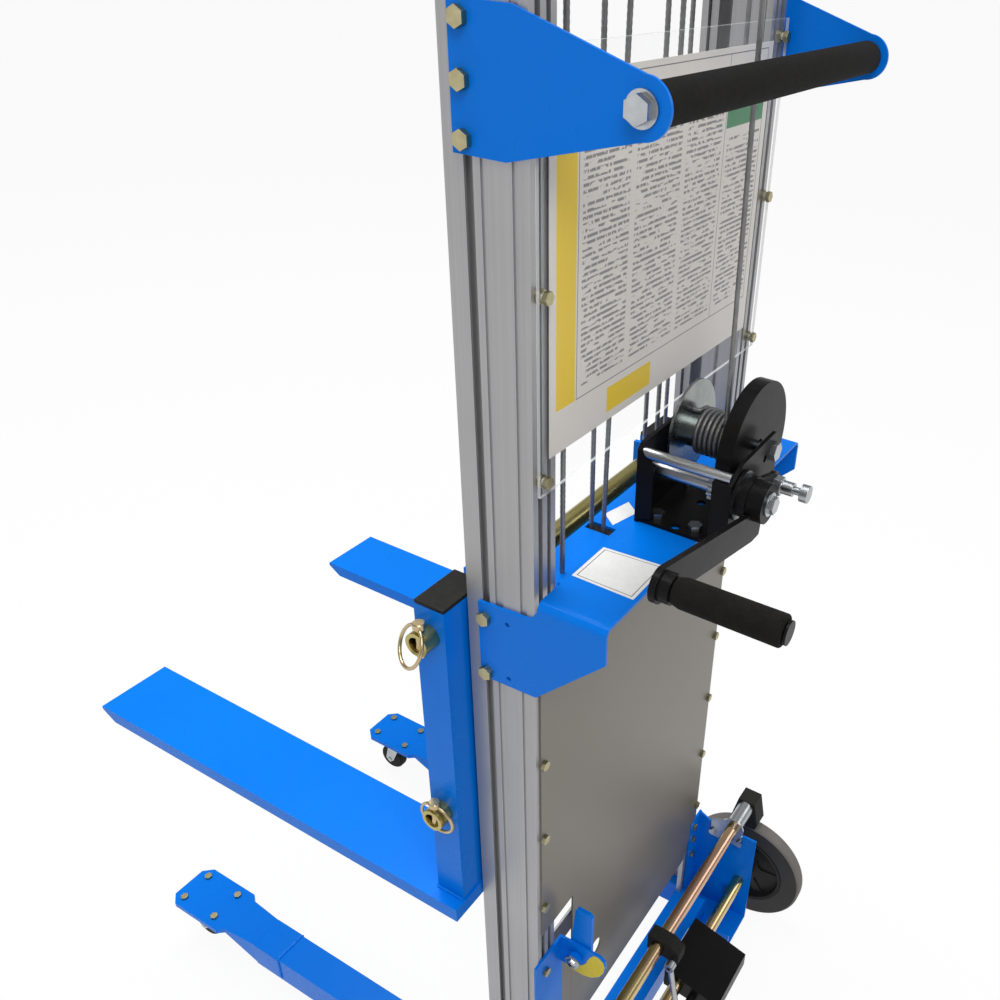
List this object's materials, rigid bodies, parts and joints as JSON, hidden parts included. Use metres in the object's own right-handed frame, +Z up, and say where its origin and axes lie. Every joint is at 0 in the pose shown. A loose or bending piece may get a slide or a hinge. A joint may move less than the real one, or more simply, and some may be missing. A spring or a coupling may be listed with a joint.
{
  "type": "winch material lift",
  "caption": "Hand-cranked lift on wheels: a winch and wire ropes raise a two-stage aluminium mast and its fork carriage; a foot pedal brakes the rear wheels.",
  "frame": {"origin": "on the floor below the middle of the lift's overall box", "axes": "+X to the operator's right, +Y forward to the fork tips, +Z up"},
  "size_m": [0.612, 0.909, 1.909],
  "materials": {
    "aluminium": "satin anodised extrusion",
    "blue_paint": "gloss powder coat",
    "steel_tube": "bright drawn tube",
    "foam": "closed-cell foam sleeve",
    "zinc": "bright zinc plate",
    "yellow_zinc": "yellow passivated zinc plate",
    "clear_sheet": "clear plastic sheet",
    "white_film": "printed film, left bare",
    "grey_sheet": "smooth dark grey sheet",
    "black_paint": "satin black powder coat",
    "black_plastic": "moulded plastic",
    "black_rubber": "moulded rubber",
    "wire_rope": "galvanised steel strands",
    "sheave_steel": "machined steel",
    "nylon": "cast nylon"
  },
  "bodies": {
    "base": {"outer_masts": "aluminium", "crosshead": "blue_paint", "handle_plates": "blue_paint", "handle_bar": "steel_tube", "handle_foam": "foam", "zinc_hardware": "zinc", "clear_panel": "clear_sheet", "instruction_sheet": "white_film", "winch_bracket": "blue_paint", "yellow_bolts": "yellow_zinc", "cover_sheet": "grey_sheet", "rope_guides": "black_plastic", "winch_frame": "black_paint", "gear_cover": "black_paint", "winch_rope": "wire_rope", "rope_falls": "wire_rope", "carriage_ropes_rear": "wire_rope", "rear_frame": "blue_paint", "front_legs": "blue_paint", "brake_bearings": "zinc", "latch_bracket": "blue_paint", "pedal_shaft": "yellow_zinc"},
    "drum": {"winch_drum": "zinc", "drum_gear": "zinc"},
    "crank": {"pinion_shaft": "zinc", "crank_arm": "black_paint", "plunger_housing": "zinc"},
    "crank_handle": {"crank_grip": "foam"},
    "plunger": {"index_plunger": "zinc"},
    "lead_wheel": {"lead_sheave": "sheave_steel"},
    "middle_wheel": {"middle_sheave": "sheave_steel"},
    "foot_wheel_rear": {"foot_sheave_rear": "sheave_steel"},
    "foot_wheel_front": {"foot_sheave_front": "sheave_steel"},
    "inner_mast": {"inner_masts": "aluminium", "inner_cross_members": "sheave_steel", "inner_pads": "nylon", "bend_ropes": "wire_rope", "carriage_ropes_front": "wire_rope"},
    "carriage_wheels": {"carriage_sheaves": "sheave_steel"},
    "carriage": {"carriage_frame": "blue_paint", "fork_shafts": "yellow_zinc", "fork_pins": "zinc", "carriage_guides": "nylon"},
    "left_fork": {"fork_left": "blue_paint", "post_cap_left": "black_plastic"},
    "right_fork": {"fork_right": "blue_paint", "post_cap_right": "black_plastic"},
    "left_caster": {"caster_fork_left": "zinc"},
    "right_caster": {"caster_fork_right": "zinc"},
    "left_caster_wheel": {"caster_wheel_left": "black_rubber"},
    "right_caster_wheel": {"caster_wheel_right": "black_rubber"},
    "left_wheel": {"rear_hub_left": "black_plastic", "rear_tyre_left": "black_rubber"},
    "right_wheel": {"rear_hub_right": "black_plastic", "rear_tyre_right": "black_rubber"},
    "brake": {"brake_bar": "yellow_zinc", "brake_blocks": "black_rubber"},
    "link": {"brake_link": "zinc"},
    "pedal": {"foot_pedal": "black_paint"},
    "latch": {"latch_lever": "blue_paint"}
  },
  "joints": [
    {"name": "crank_turn", "type": "hinge", "parent": "base", "child": "crank", "pos_m": [-0.031, -0.2795, 0.985], "axis": [0, 1, 0], "range_deg": [-9000, 27000]},
    {"name": "drum_turn", "type": "hinge", "parent": "base", "child": "drum", "pos_m": [0.04136, -0.2695, 1.00051], "axis": [0, 1, 0], "range_deg": [-5300, 1800]},
    {"name": "inner_lift", "type": "slide", "parent": "base", "child": "inner_mast", "axis": [0, 0, 1], "range_m": [-0.1745, 0.5215], "deforming": ["rope_falls", "carriage_ropes_rear"]},
    {"name": "carriage_lift", "type": "slide", "parent": "inner_mast", "child": "carriage", "axis": [0, 0, 1], "range_m": [-0.1745, 0.5215], "deforming": ["carriage_ropes_front"]},
    {"name": "lead_wheel_turn", "type": "hinge", "parent": "base", "child": "lead_wheel", "pos_m": [0.02725, -0.2365, 1.655], "axis": [0.9755, -0.2201, 0], "range_deg": [-1200, 3300]},
    {"name": "middle_wheel_turn", "type": "hinge", "parent": "base", "child": "middle_wheel", "pos_m": [-0.0047, -0.1925, 1.59], "axis": [0.1711, -0.9852, 0], "range_deg": [-600, 1600]},
    {"name": "foot_wheel_rear_turn", "type": "hinge", "parent": "inner_mast", "child": "foot_wheel_rear", "pos_m": [-0.015, -0.1995, 0.305], "axis": [0, 1, 0], "range_deg": [-1900, 700]},
    {"name": "foot_wheel_front_turn", "type": "hinge", "parent": "inner_mast", "child": "foot_wheel_front", "pos_m": [-0.015, -0.1855, 0.305], "axis": [0, 1, 0], "range_deg": [-700, 300]},
    {"name": "carriage_wheels_turn", "type": "hinge", "parent": "inner_mast", "child": "carriage_wheels", "pos_m": [0, -0.1785, 1.843], "axis": [1, 0, 0], "range_deg": [-400, 1100]},
    {"name": "crank_handle_turn", "type": "hinge", "parent": "crank", "child": "crank_handle", "pos_m": [-0.217, -0.3995, 1], "axis": [0, 1, 0], "continuous": true},
    {"name": "plunger_slide", "type": "slide", "parent": "crank", "child": "plunger", "axis": [0, 1, 0], "range_m": [0, 0.0078]},
    {"name": "left_fork_slide", "type": "slide", "parent": "carriage", "child": "left_fork", "axis": [1, 0, 0], "range_m": [-0.0058, 0.0155]},
    {"name": "right_fork_slide", "type": "slide", "parent": "carriage", "child": "right_fork", "axis": [1, 0, 0], "range_m": [-0.0046, 0.0168]},
    {"name": "left_caster_swivel", "type": "hinge", "parent": "base", "child": "left_caster", "pos_m": [-0.2115, 0.4035, 0.06], "axis": [0, 0, 1], "continuous": true},
    {"name": "right_caster_swivel", "type": "hinge", "parent": "base", "child": "right_caster", "pos_m": [0.2115, 0.4035, 0.06], "axis": [0, 0, 1], "continuous": true},
    {"name": "left_caster_roll", "type": "hinge", "parent": "left_caster", "child": "left_caster_wheel", "pos_m": [-0.2115, 0.4215, 0.025], "axis": [1, 0, 0], "continuous": true},
    {"name": "right_caster_roll", "type": "hinge", "parent": "right_caster", "child": "right_caster_wheel", "pos_m": [0.2115, 0.4215, 0.025], "axis": [1, 0, 0], "continuous": true},
    {"name": "left_wheel_roll", "type": "hinge", "parent": "base", "child": "left_wheel", "pos_m": [-0.284, -0.2885, 0.099], "axis": [1, 0, 0], "continuous": true},
    {"name": "right_wheel_roll", "type": "hinge", "parent": "base", "child": "right_wheel", "pos_m": [0.284, -0.2885, 0.099], "axis": [1, 0, 0], "continuous": true},
    {"name": "pedal_press", "type": "hinge", "parent": "base", "child": "pedal", "pos_m": [0.062, -0.3005, 0.133], "axis": [1, 0, 0], "range_deg": [0, 23.5]},
    {"name": "brake_turn", "type": "hinge", "parent": "base", "child": "brake", "pos_m": [0, -0.2795, 0.243], "axis": [1, 0, 0], "range_deg": [-0.5, 24]},
    {"name": "link_swing", "type": "hinge", "parent": "pedal", "child": "link", "pos_m": [-0.029, -0.3265, 0.125], "axis": [1, 0, 0], "range_deg": [-24, 0.5]},
    {"name": "latch_turn", "type": "hinge", "parent": "base", "child": "latch", "pos_m": [-0.164, -0.2445, 0.389], "axis": [1, 0, 0], "range_deg": [0, 75]}
  ],
  "couplings": [
    {"joint": "drum_turn", "follows": "crank_turn", "ratio": -0.19355},
    {"joint": "inner_lift", "follows": "crank_turn", "m_per_rad": 0.0011032},
    {"joint": "carriage_lift", "follows": "crank_turn", "m_per_rad": 0.0011032},
    {"joint": "lead_wheel_turn", "follows": "crank_turn", "ratio": 0.11634},
    {"joint": "middle_wheel_turn", "follows": "crank_turn", "ratio": 0.053943},
    {"joint": "foot_wheel_rear_turn", "follows": "crank_turn", "ratio": -0.065409},
    {"joint": "foot_wheel_front_turn", "follows": "crank_turn", "ratio": -0.021803},
    {"joint": "carriage_wheels_turn", "follows": "crank_turn", "ratio": 0.038042},
    {"joint": "brake_turn", "follows": "pedal_press", "ratio": 1},
    {"joint": "link_swing", "follows": "pedal_press", "ratio": -1}
  ]
}
